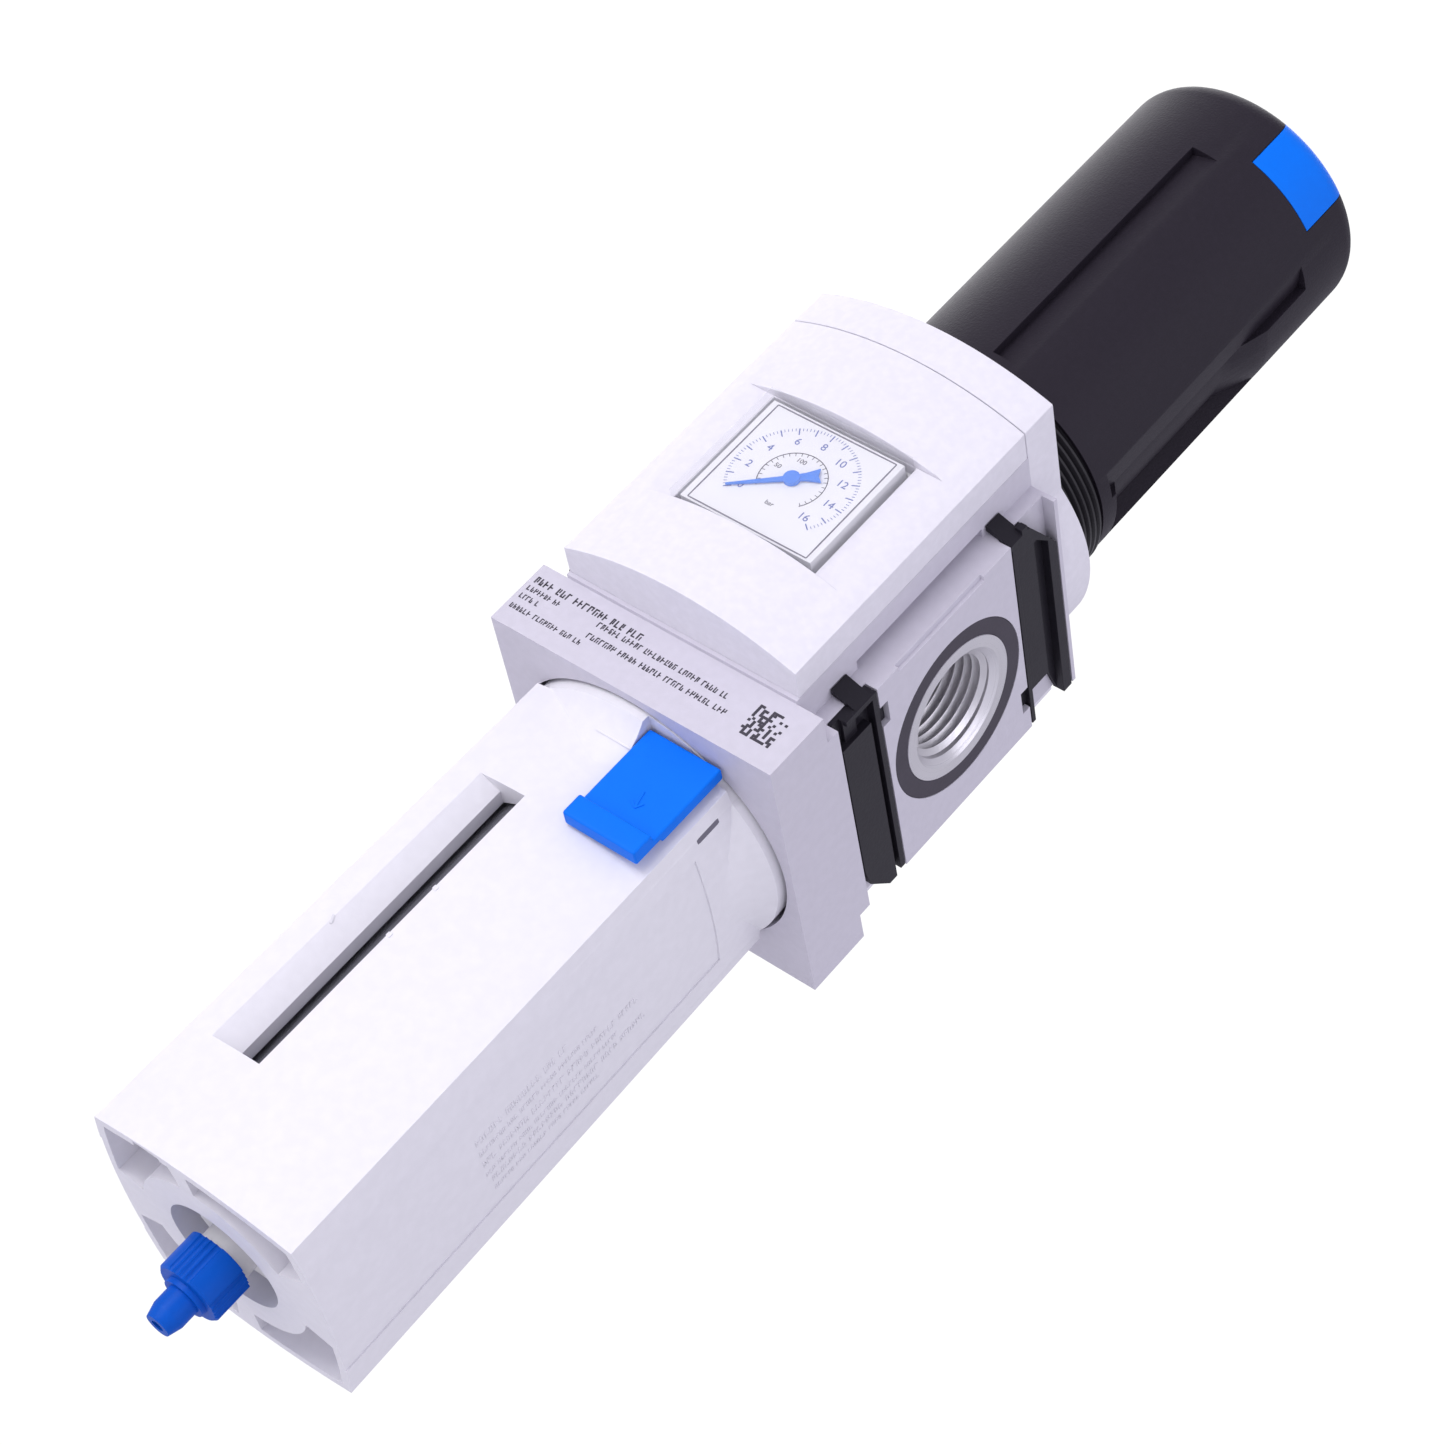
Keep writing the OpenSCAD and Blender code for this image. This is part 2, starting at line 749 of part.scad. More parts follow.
// Wire swept along a helix with closed, square-cut ends
module coil(r, wire, z0, z1, turns, sides, steps) {
    rings = turns * steps;
    ring = function (i) let (a = 360 * i / steps, z = z0 + (z1 - z0) * i / rings)
        [for (k = [0:sides - 1]) let (b = 360 * k / sides)
            [(r + wire * cos(b)) * cos(a), (r + wire * cos(b)) * sin(a), z + wire * sin(b)]];
    points = [for (i = [0:rings]) each ring(i)];
    walls = [for (i = [0:rings - 1], k = [0:sides - 1]) let (n = (k + 1) % sides)
        [i * sides + k, i * sides + n, (i + 1) * sides + n, (i + 1) * sides + k]];
    first = [[for (k = [sides - 1:-1:0]) k]];
    last = [[for (k = [0:sides - 1]) rings * sides + k]];
    polyhedron(points, concat(walls, first, last), convexity = 10);
}

module main_spring() {
    color(steel) coil(spring_r, wire_r, spring_seat + wire_r, nut_bottom - wire_r, spring_turns, 8, 20);
}

module diaphragm() {
    color(black) difference() {
        ring(diaphragm_r, plate_r + gap, core_top, core_top + diaphragm_t);
        bonnet_screw_places() rod(screw_hole_r, core_top - 1, core_top + 2);
    }
}

module diaphragm_plate() {
    color(steel) difference() {
        union() {
            rod(plate_r, core_top - 1.2, spring_seat);
            rod(7, spring_seat - 1, spring_seat + 3);
        }
        rod(stem_r, core_top - 2, spring_seat + 1);
    }
}

module valve_stem() {
    color("gold") {
        rod(stem_r, poppet_top - 1, spring_seat + 1);
        rod(poppet_r, poppet_top - poppet_h, poppet_top);
        rod(3, poppet_top - poppet_h - 2, poppet_top - 1);
    }
}

module valve_seat() {
    color("gold") ring(seat_r, seat_orifice, seat_bottom, seat_top);
}

module valve_spring() {
    color(steel) coil(4.4, 0.5, ledge_z + 1.5 + 0.5, poppet_top - poppet_h - 0.5, 5, 6, 16);
}

module filter_holder() {
    color(white) difference() {
        union() {
            rod(holder_r, holder_bottom, holder_top);
            rod(tube_core_r, element_bottom, holder_bottom + 1);
        }
        rod(tube_core_bore, element_bottom - 1, holder_bottom - 0.5);
        rod(valve_chamber_r - 0.9, ledge_z + 1.5, holder_top + 1);
        rod(3.4, holder_bottom - 1, ledge_z + 3);
        for (z = [element_bottom + 9, element_bottom + 24, element_bottom + 39], a = [0, 90])
            translate([0, 0, z]) rotate([0, 0, a]) block(2 * tube_core_r + 2, 5, 0, 9);
    }
}

module swirl_ring() {
    color(white) {
        ring(holder_r + 5, tube_core_r + 0.1, element_top, holder_bottom);
        difference() {
            for (i = [0:11]) rotate([0, 0, 30 * i]) translate([holder_r + 4.5, 0, element_top])
                rotate([35, 0, 0]) translate([0, -0.6, 0]) cube([swirl_r - holder_r - 4.5, 1.2, 4]);
            rod(seal_bore_r, holder_bottom, holder_bottom + 5);
        }
    }
}

module filter_element() {
    color("ivory") ring(element_r, tube_core_r + 0.1, element_bottom, element_top);
}

module filter_baffle() {
    color(white) difference() {
        union() {
            rod(element_r + 2, element_bottom - 3, element_bottom);
            rod(tube_core_bore - 0.1, element_bottom - 1, element_bottom + 5);
        }
        rod(tube_core_bore - 2, element_bottom - 1, element_bottom + 6);
    }
}

module bowl() {
    inner = bowl_r - bowl_wall;
    color(clear) difference() {
        union() {
            rod(bowl_r, bowl_floor, bowl_flange_z + 1);
            rod(bowl_flange_r - 0.4, bowl_flange_z, neck_top);
            rod(bowl_neck_r, neck_top - 1, bowl_top);
        }
        rod(inner, bowl_floor + bowl_floor_t, bowl_top + 1);
        rod(inner + 2, neck_top, bowl_top + 1);
        rod(drain_shaft_r + 0.1, bowl_floor - 1, bowl_floor + bowl_floor_t + 1);
        rotate_extrude() translate([bowl_neck_r, bowl_top - 3.5]) circle(r = 1.1);
    }
}

module bowl_seal() {
    color(black) rotate_extrude() intersection() {
        translate([bowl_neck_r, bowl_top - 3.5]) circle(r = 1.1);
        translate([0, bowl_top - 6]) square([seal_bore_r, 6]);
    }
}

// Outer form of the guard: four large tilted cylinders meet at its corners
module guard_form(inset) {
    intersection() {
        block(guard_w + 2, guard_w + 2, guard_bottom, shoulder_z);
        guard_side(0, inset);
        guard_side(90, inset);
        guard_side(180, inset);
        guard_side(270, inset);
    }
}

module guard_side(a, inset) {
    rotate([0, 0, a]) translate([0, guard_side_r - guard_mid + inset, guard_bottom]) rotate([-guard_lean, 0, 0])
        translate([0, 0, -20]) cylinder(h = guard_h + 60, r = guard_side_r, $fn = 480);
}

// Smooth widening of the guard up to its round neck
module guard_flare() {
    rotate_extrude() polygon(concat([[0, shoulder_z - flare_h]], [for (t = [0:6:flare_turn])
        [flare_r + (neck_r - flare_r) * (1 - cos(t)) / (1 - cos(flare_turn)),
         shoulder_z - flare_h + flare_h * sin(t) / sin(flare_turn)]], [[0, shoulder_z]]));
}

// What the shallow panel of one side takes away, between two places along that side
module side_panel(a, from, to) {
    difference() {
        rotate([0, 0, a]) box([from, -guard_mid - 2, guard_bottom - 1], [to, -guard_mid + 3, shoulder_z - flare_h]);
        guard_side(a, panel_depth);
    }
}

module foot_pocket(a0, a1) {
    intersection() {
        guard_form(guard_wall);
        difference() {
            wedge(40, a0, a1, guard_bottom - 1, guard_bottom + floor_h - 2);
            rod(foot_hole_r + 6, guard_bottom - 2, guard_bottom + floor_h);
        }
    }
}

module sight_slot() {
    half = slot_w / 2;
    translate([0, 0, slot_top - slot_h]) linear_extrude(slot_h) polygon([
        [slot_x - half, -guard_mid - 2], [slot_x + half, -guard_mid - 2],
        [slot_x + half - 0.6, -cavity_r + 6], [slot_x - half + slot_bevel, -cavity_r + 6],
        [slot_x - half + slot_bevel, -guard_mid + 4.5], [slot_x - half, -guard_mid + 0.4]
    ]);
}

// Recess behind the slide, which the slide's overhanging foot hides
module slide_space() {
    half = slide_w / 2 + slide_clear;
    z0 = slide_top - slide_h + slide_foot - slide_travel - slide_clear;
    box([slide_x - half, -slide_front - 6, z0], [slide_x + half, -slide_front + slide_t + slide_clear, slide_top + 0.6]);
}

module bowl_guard() {
    color(guard_grey) difference() {
        union() {
            guard_form(0);
            guard_flare();
            rod(neck_r, shoulder_z - 0.01, neck_top);
        }
        rod(cavity_r, guard_bottom + floor_h, bowl_flange_z + 1);
        rod(bowl_flange_r, bowl_flange_z, neck_top + 1);
        rod(foot_hole_r, guard_bottom - 1, guard_bottom + floor_h + 1);
        foot_pocket(-3, 59);
        foot_pocket(107, 177);
        foot_pocket(-75, -13);
        foot_pocket(190, 250);
        box([-13, -guard_mid + 1.4, guard_bottom], [-7, -guard_mid + 7, guard_bottom + floor_h + 1]);
        sight_slot();
        rotate([0, 0, 180]) sight_slot();
        side_panel(90, -panel_front, panel_back);
        side_panel(270, -panel_back, panel_front);
        slide_space();
    }
}

module release_slide() {
    half = slide_w / 2;
    z0 = slide_top - slide_h;
    color(blue) {
        box([slide_x - half, -slide_front, z0 + slide_foot], [slide_x + half, -slide_front + slide_t, slide_top]);
        box([slide_x - half, -slide_front, z0], [slide_x + half, -slide_front + slide_foot_t, z0 + slide_foot + 1]);
        box([slide_x - half, -slide_front - slide_ridge, z0], [slide_x + half, -slide_front + 1, z0 + slide_ridge_h]);
    }
}

module drain_body() {
    color(white) difference() {
        union() {
            rod(drain_shoulder_r, bowl_floor + bowl_floor_t, bowl_floor + bowl_floor_t + drain_shoulder_h);
            rod(drain_shaft_r, drain_shaft_bottom, bowl_floor + bowl_floor_t + 1);
        }
        rod(drain_bore, drain_shaft_bottom - 1, plunger_top + drain_travel);
        rod(1.6, drain_shaft_bottom, bowl_floor + bowl_floor_t + drain_shoulder_h + 1);
    }
}

module drain_nut() {
    color(white) difference() {
        translate([0, 0, bowl_floor - nut_drain_h]) cylinder(h = nut_drain_h, r = nut_drain_r, $fn = 6);
        rod(drain_shaft_r, bowl_floor - nut_drain_h - 1, bowl_floor + 1);
    }
}

module drain_plunger() {
    color(black) difference() {
        union() {
            rod(plunger_r, drain_cap_bottom + 1.2, plunger_top - 0.2);
            rod(1.4, plunger_top - 1, plunger_top + 2);
        }
        rod(1, drain_cap_bottom, plunger_top - 3);
        rod_x(0.8, -10, 10, plunger_top - 4);
    }
}

// Cap with four smooth lands between groups of grip grooves, and a hose nipple below
module drain_cap() {
    groove_r = 0.7;
    color(blue) difference() {
        union() {
            rod(drain_r, drain_cap_bottom + 0.5, cap_top);
            translate([0, 0, drain_cap_bottom]) cylinder(h = 0.5, r1 = drain_r - 0.5, r2 = drain_r);
            rod(nipple_r + 1, drain_cap_bottom - 1, drain_cap_bottom + 1);
            rod(nipple_r, drain_cap_bottom - nipple_h + 2.5, drain_cap_bottom);
            translate([0, 0, drain_cap_bottom - nipple_h])
                cylinder(h = 2.5, r1 = nipple_r - 0.7, r2 = nipple_r);
        }
        for (a = [0:90:270], i = [-1.5:1.5]) rotate([0, 0, a + 11 * i]) translate([drain_r + 0.15, 0, 0])
            rod(groove_r, drain_cap_bottom - 1, cap_top + 1);
        rod(drain_shaft_r + 0.3, drain_cap_bottom + 1.2, cap_top + 1);
        rod(1.2, drain_cap_bottom - nipple_h - 1, drain_cap_bottom + 2);
    }
}

housing();
front_cover();
top_cap();
back_cover();
back_cover_screws();
port_seal_outlet();
port_seal_inlet();
clip_outlet_upper();
clip_outlet_lower();
clip_inlet_upper();
clip_inlet_lower();
gauge_case();
gauge_dial();
gauge_needle();
gauge_window();
bonnet();
bonnet_screws();
knob();
lock_tab();
spindle();
spring_nut();
main_spring();
diaphragm();
diaphragm_plate();
valve_stem();
valve_seat();
valve_spring();
filter_holder();
swirl_ring();
filter_element();
filter_baffle();
bowl();
bowl_seal();
bowl_guard();
release_slide();
drain_body();
drain_nut();
drain_plunger();
drain_cap();
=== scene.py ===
import json
import math
import random

import bpy
from mathutils import Matrix, Vector


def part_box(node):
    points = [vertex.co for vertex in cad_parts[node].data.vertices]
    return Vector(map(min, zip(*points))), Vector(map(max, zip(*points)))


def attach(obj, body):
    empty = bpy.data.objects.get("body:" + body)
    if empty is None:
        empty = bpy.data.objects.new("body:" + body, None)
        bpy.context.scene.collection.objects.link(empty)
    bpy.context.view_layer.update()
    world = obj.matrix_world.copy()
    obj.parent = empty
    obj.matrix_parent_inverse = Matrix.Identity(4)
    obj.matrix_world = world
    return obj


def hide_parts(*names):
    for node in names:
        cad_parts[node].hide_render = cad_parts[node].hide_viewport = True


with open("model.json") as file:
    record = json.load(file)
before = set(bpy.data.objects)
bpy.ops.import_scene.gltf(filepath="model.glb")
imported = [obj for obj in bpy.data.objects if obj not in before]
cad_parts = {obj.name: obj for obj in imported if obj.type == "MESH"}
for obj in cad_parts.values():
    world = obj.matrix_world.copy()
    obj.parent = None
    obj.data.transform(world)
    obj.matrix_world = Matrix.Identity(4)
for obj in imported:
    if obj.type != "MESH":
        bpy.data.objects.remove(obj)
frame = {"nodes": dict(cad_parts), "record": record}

mm = 0.001
nodes = frame["nodes"]
bodyOf = {node: body for body, members in frame["record"]["behaviour"]["bodies"].items()
          for node in members}
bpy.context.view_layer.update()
portZ = sum(corner.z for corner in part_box("port_seal_outlet")) / 2  # height of the port axis


# one output of a finish's nodes: arithmetic on it adds Math nodes
class Wire:
    def __init__(self, finish, socket):
        self.finish, self.socket = finish, socket

    def math(self, operation, *others):
        return self.finish.node("Math", {"operation": operation}, dict(enumerate((self, *others))))

    def turned(self, operation, other):
        return self.finish.node("Math", {"operation": operation}, {0: other, 1: self})

    def __add__(self, other):
        return self.math("ADD", other)

    def __radd__(self, other):
        return self.turned("ADD", other)

    def __sub__(self, other):
        return self.math("SUBTRACT", other)

    def __rsub__(self, other):
        return self.turned("SUBTRACT", other)

    def __mul__(self, other):
        return self.math("MULTIPLY", other)

    def __rmul__(self, other):
        return self.turned("MULTIPLY", other)

    def __truediv__(self, other):
        return self.math("DIVIDE", other)

    def __pow__(self, other):
        return self.math("POWER", other)

    def __gt__(self, other):
        return self.math("GREATER_THAN", other)

    def __lt__(self, other):
        return self.math("LESS_THAN", other)

    def __abs__(self):
        return self.math("ABSOLUTE")


class Finish:
    def __init__(self, name):
        self.material = bpy.data.materials.new(name)
        self.material.use_nodes = True
        self.tree = self.material.node_tree
        self.shader = self.tree.nodes["Principled BSDF"]
        self.place = self.node("TexCoord", output="Object")
        axes = [self.node("SeparateXYZ", inputs={0: self.place}, output=axis) for axis in range(3)]
        self.x, self.y, self.z = axes

    # any node: its type, the settings made first, then the values or links of its sockets
    def node(self, kind, settings=None, inputs=None, output=0):
        made = self.tree.nodes.new("ShaderNode" + kind)
        for key, value in (settings or {}).items():
            if key == "stops":
                for stop, (position, shade) in zip(made.color_ramp.elements, value):
                    stop.position = position
                    stop.color = (shade, shade, shade, 1)
            else:
                setattr(made, key, value)
        for key, value in (inputs or {}).items():
            if isinstance(value, Wire):
                self.tree.links.new(value.socket, made.inputs[key])
            else:
                made.inputs[key].default_value = value
        return Wire(self, made.outputs[output])

    def noise(self, size, detail, roughness=0.5):
        return self.node("TexNoise", {}, {"Vector": self.place, "Scale": 1 / size, "Detail": detail,
                                          "Roughness": roughness})

    # uneven lines along one value, such as a distance from an axis
    def rings(self, along):
        return self.node("TexNoise", {"noise_dimensions": "1D"}, {"W": along, "Detail": 2.0})

    def ramp(self, value, *stops):
        return self.node("ValToRGB", {"stops": stops}, {0: value})

    def mix(self, factor, a, b):
        return self.node("Mix", {"data_type": "RGBA"}, {0: factor, 6: a, 7: b}, 2)

    def bump(self, height, depth):
        return self.node("Bump", {}, {"Height": height, "Distance": depth})

    def put(self, **sockets):
        for name, value in sockets.items():
            socket = self.shader.inputs[name.replace("_", " ")]
            if isinstance(value, Wire):
                self.tree.links.new(value.socket, socket)
            else:
                socket.default_value = value
        return self


def tone(color, gain):
    return tuple(min(1, c * gain) for c in color) + (1,)


# what moulded and painted surfaces share; each look below adds its own values, with sizes in metres
moulding = {"grainRoughness": 0.6, "speckSize": 2.6, "speckStops": ((0.35, 0), (0.75, 1)), "speckGain": 1.16,
            "driftGloss": 0.1, "grainGloss": 0.12, "specular": 0.3}


# moulded or painted surface: slow colour drift, fine grain, slightly uneven gloss
def mouldedFinish(name, look):
    f = Finish(name)
    drift = f.noise(look["drift"], 3)
    grain = f.noise(look["grain"], 2, moulding["grainRoughness"])
    speck = f.ramp(f.noise(look["grain"] * moulding["speckSize"], 1), *moulding["speckStops"])
    color = f.mix(drift, tone(look["color"], 1 - look["vary"]), tone(look["color"], 1 + look["vary"]))
    color = f.mix(speck * look["speck"], color, tone(look["color"], moulding["speckGain"]))
    rough = look["rough"] + (drift - 0.5) * moulding["driftGloss"] + (grain - 0.5) * moulding["grainGloss"]
    return f.put(Base_Color=color, Roughness=rough, Normal=f.bump(grain, look["depth"]),
                 Specular_IOR_Level=look.get("specular", moulding["specular"]))


mouldedLooks = {
    "castWhite": {"color": (0.58, 0.56, 0.63), "rough": 0.42, "grain": 0.0007, "depth": 0.00003,
                  "drift": 0.03, "vary": 0.02, "speck": 0.25},
    "coverWhite": {"color": (0.74, 0.725, 0.78), "rough": 0.46, "grain": 0.0006, "depth": 0.00003,
                   "drift": 0.04, "vary": 0.015, "speck": 0.3},
    "guardWhite": {"color": (0.76, 0.75, 0.79), "rough": 0.44, "grain": 0.0008, "depth": 0.00002,
                   "drift": 0.05, "vary": 0.015, "speck": 0.2},
    "insertWhite": {"color": (0.72, 0.71, 0.70), "rough": 0.5, "grain": 0.0006, "depth": 0.00002,
                    "drift": 0.02, "vary": 0.02, "speck": 0.2},
    "dialWhite": {"color": (0.86, 0.86, 0.87), "rough": 0.55, "grain": 0.0004, "depth": 0.00001,
                  "drift": 0.01, "vary": 0.01, "speck": 0.1},
    "filterWhite": {"color": (0.78, 0.77, 0.72), "rough": 0.8, "grain": 0.0009, "depth": 0.0003,
                    "drift": 0.01, "vary": 0.04, "speck": 0.6},
    "bluePlastic": {"color": (0.0004, 0.165, 0.82), "rough": 0.45, "specular": 0.12, "grain": 0.0006,
                    "depth": 0.00002, "drift": 0.012, "vary": 0.05, "speck": 0.06},
    "needleBlue": {"color": (0.03, 0.22, 0.80), "rough": 0.5, "grain": 0.0004, "depth": 0.00001,
                   "drift": 0.004, "vary": 0.03, "speck": 0.05},
    "drainBlue": {"color": (0.0003, 0.085, 0.50), "rough": 0.42, "specular": 0.12, "grain": 0.0006,
                  "depth": 0.00002, "drift": 0.008, "vary": 0.06, "speck": 0.06},
    "inkBlue": {"color": (0.10, 0.14, 0.42), "rough": 0.6, "grain": 0.0003, "depth": 0.00001,
                "drift": 0.003, "vary": 0.1, "speck": 0.2},
    "inkDark": {"color": (0.05, 0.045, 0.06), "rough": 0.6, "grain": 0.0003, "depth": 0.00001,
                "drift": 0.003, "vary": 0.2, "speck": 0.2},
    "inkGrey": {"color": (0.16, 0.15, 0.19), "rough": 0.5, "grain": 0.0003, "depth": 0.00001,
                "drift": 0.004, "vary": 0.1, "speck": 0.1},
    "clipBlack": {"color": (0.014, 0.0125, 0.018), "rough": 0.42, "specular": 0.2, "grain": 0.0006,
                  "depth": 0.00003, "drift": 0.01, "vary": 0.15, "speck": 0.2},
    "bonnetBlack": {"color": (0.012, 0.011, 0.014), "rough": 0.38, "grain": 0.0005, "depth": 0.00003,
                    "drift": 0.015, "vary": 0.2, "speck": 0.2},
    "knobGrey": {"color": (0.018, 0.0145, 0.022), "rough": 0.52, "specular": 0.18, "grain": 0.0005,
                 "depth": 0.00007, "drift": 0.03, "vary": 0.08, "speck": 0.45},
    "sealRubber": {"color": (0.058, 0.051, 0.067), "rough": 0.62, "grain": 0.0004, "depth": 0.00004,
                   "drift": 0.008, "vary": 0.2, "speck": 0.3},
}
finishes = {name: mouldedFinish(name, look) for name, look in mouldedLooks.items()}


turning = {"patch": 0.006, "dark": 0.86, "light": 1.08, "gloss": 0.2, "depth": 0.00002}


# turned metal: fine rings round one axis, and slow patches
def turnedMetal(name, color, rough, ringSize):
    f = Finish(name)
    radius = (f.x * f.x + f.y * f.y) ** 0.5
    rings = f.rings((radius + f.z) / ringSize)
    patches = f.noise(turning["patch"], 3)
    return f.put(Base_Color=f.mix(patches, tone(color, turning["dark"]), tone(color, turning["light"])),
                 Metallic=1.0, Roughness=rough + (rings - 0.5) * turning["gloss"],
                 Normal=f.bump(rings, turning["depth"]))


finishes["steel"] = turnedMetal("steel", (0.56, 0.56, 0.58), 0.32, 0.0003)
finishes["brass"] = turnedMetal("brass", (0.62, 0.45, 0.19), 0.34, 0.0003)
finishes["bareCast"] = turnedMetal("bareCast", (0.74, 0.73, 0.75), 0.34, 0.0004)

# the housing: painted, with the seal land and the bore of each port machined bare
machined = {"landRadius": 14.06 * mm, "firstX": 15 * mm, "ringSize": 0.0003, "color": (0.78, 0.77, 0.80),
            "dark": 0.88, "light": 1.06, "smoother": 0.1, "gloss": 0.2}


def housingFinish():
    look = mouldedLooks["castWhite"]
    f = mouldedFinish("housingPaint", look)
    radius = (f.y * f.y + (f.z - portZ) * (f.z - portZ)) ** 0.5
    bare = (radius < machined["landRadius"]) * (abs(f.x) > machined["firstX"])
    paint = Wire(f, f.shader.inputs["Base Color"].links[0].from_socket)
    rings = f.rings(radius / machined["ringSize"])
    grain = f.noise(look["grain"], 2, moulding["grainRoughness"])
    metal = f.mix(rings, tone(machined["color"], machined["dark"]),
                  tone(machined["color"], machined["light"]))
    rough = look["rough"] - bare * machined["smoother"] + (rings - 0.5) * bare * machined["gloss"]
    return f.put(Base_Color=f.mix(bare, paint, metal), Metallic=bare, Roughness=rough,
                 Normal=f.bump(grain * (1 - bare) + rings * bare, look["depth"]))


finishes["housingPaint"] = housingFinish()


clearPlastic = {"haze": 0.02, "dark": 0.95, "rough": 0.06, "gloss": 0.06, "vary": 0.2, "index": 1.49}


# clear plastic, with faint uneven gloss
def clearFinish(name, tint, alpha):
    f = Finish(name)
    haze = f.noise(clearPlastic["haze"], 3)
    return f.put(Base_Color=f.mix(haze, tone(tint, clearPlastic["dark"]), tone(tint, 1.0)),
                 Roughness=clearPlastic["rough"] + haze * clearPlastic["gloss"],
                 Alpha=alpha + (haze - 0.5) * alpha * clearPlastic["vary"], IOR=clearPlastic["index"])


finishes["windowClear"] = clearFinish("windowClear", (0.70, 0.70, 0.76), 0.1)
finishes["bowlClear"] = clearFinish("bowlClear", (0.30, 0.30, 0.34), 0.6)
print("finishes made:", len(finishes))


def letGo():
    if bpy.context.object and bpy.context.object.mode != "OBJECT":
        bpy.ops.object.mode_set(mode="OBJECT")
    bpy.ops.object.select_all(action="DESELECT")


def take(piece):
    letGo()
    piece.select_set(True)
    bpy.context.view_layer.objects.active = piece


def dress(piece, finish, body):
    piece.data.materials.clear()
    piece.data.materials.append(finishes[finish].material)
    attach(piece, body)


def addModifier(piece, kind, settings):
    take(piece)
    modifier = piece.modifiers.new(kind.lower(), kind)
    for key, value in settings.items():
        setattr(modifier, key, value)
    bpy.ops.object.modifier_apply(modifier=modifier.name)


# angles in degrees, the distance in mm
softening = {"merge": 0.002, "flat": 0.3, "segments": 2, "bevelAngle": 30, "smoothAngle": 35, "weight": 60}


# a rounded-edge copy of a CAD node, shown in its place
def softCopy(node, finish, edge):
    piece = bpy.data.objects.new(node + "_soft", nodes[node].data.copy())
    bpy.context.collection.objects.link(piece)
    take(piece)
    bpy.ops.object.mode_set(mode="EDIT")
    bpy.ops.mesh.select_all(action="SELECT")
    bpy.ops.mesh.remove_doubles(threshold=softening["merge"] * mm)
    bpy.ops.mesh.dissolve_limited(angle_limit=math.radians(softening["flat"]))
    bpy.ops.object.mode_set(mode="OBJECT")
    addModifier(piece, "BEVEL", {"width": edge * mm, "segments": softening["segments"],
                                 "limit_method": "ANGLE", "miter_outer": "MITER_ARC",
                                 "angle_limit": math.radians(softening["bevelAngle"]),
                                 "use_clamp_overlap": True})
    bpy.ops.object.shade_smooth_by_angle(angle=math.radians(softening["smoothAngle"]))
    addModifier(piece, "WEIGHTED_NORMAL", {"keep_sharp": True, "weight": softening["weight"]})
    dress(piece, finish, bodyOf[node])
    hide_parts(node)
    return piece


plainNodes = {
    "steel": ["back_cover_screws", "bonnet_screws", "spindle", "main_spring", "diaphragm_plate",
              "valve_spring"],
    "brass": ["spring_nut", "valve_stem", "valve_seat"],
    "insertWhite": ["filter_holder", "swirl_ring", "filter_baffle", "drain_body", "drain_nut"],
    "filterWhite": ["filter_element"],
    "sealRubber": ["diaphragm", "bowl_seal"],
    "bonnetBlack": ["drain_plunger"],
    "dialWhite": ["gauge_dial", "gauge_case"],
    "needleBlue": ["gauge_needle"],
    "bowlClear": ["bowl"],
}
for finish, members in plainNodes.items():
    for node in members:
        mesh = nodes[node].data
        mesh.materials.clear()
        mesh.materials.append(finishes[finish].material)

# node: finish, slot, edge in mm
softNodes = {
    "housing": ("housingPaint", "cast_white", 0.3),
    "front_cover": ("coverWhite", "cover_white", 0.3),
    "top_cap": ("coverWhite", "cover_white", 0.3),
    "back_cover": ("coverWhite", "cover_white", 0.3),
    "port_seal_outlet": ("sealRubber", "seal_rubber", 0.3),
    "port_seal_inlet": ("sealRubber", "seal_rubber", 0.3),
    "clip_outlet_upper": ("clipBlack", "clip_black", 0.2),
    "clip_outlet_lower": ("clipBlack", "clip_black", 0.2),
    "clip_inlet_upper": ("clipBlack", "clip_black", 0.2),
    "clip_inlet_lower": ("clipBlack", "clip_black", 0.2),
    "gauge_window": ("windowClear", "clear_plastic", 0.2),
    "knob": ("knobGrey", "knob_grey", 0.25),
    "lock_tab": ("bluePlastic", "blue_plastic", 0.25),
    "bowl_guard": ("guardWhite", "guard_white", 0.7),
    "release_slide": ("bluePlastic", "blue_plastic", 0.45),
    "drain_cap": ("drainBlue", "blue_plastic", 0.12),
    "bonnet": ("bonnetBlack", "bonnet_black", 0.2),
}
soft = {}
for node, (finish, slot, edge) in softNodes.items():
    soft[node] = softCopy(node, finish, edge)
    print("rounded", node)


# the distance in mm, the angle in degrees
sweep = {"steps": 72, "merge": 0.001, "smoothAngle": 30}


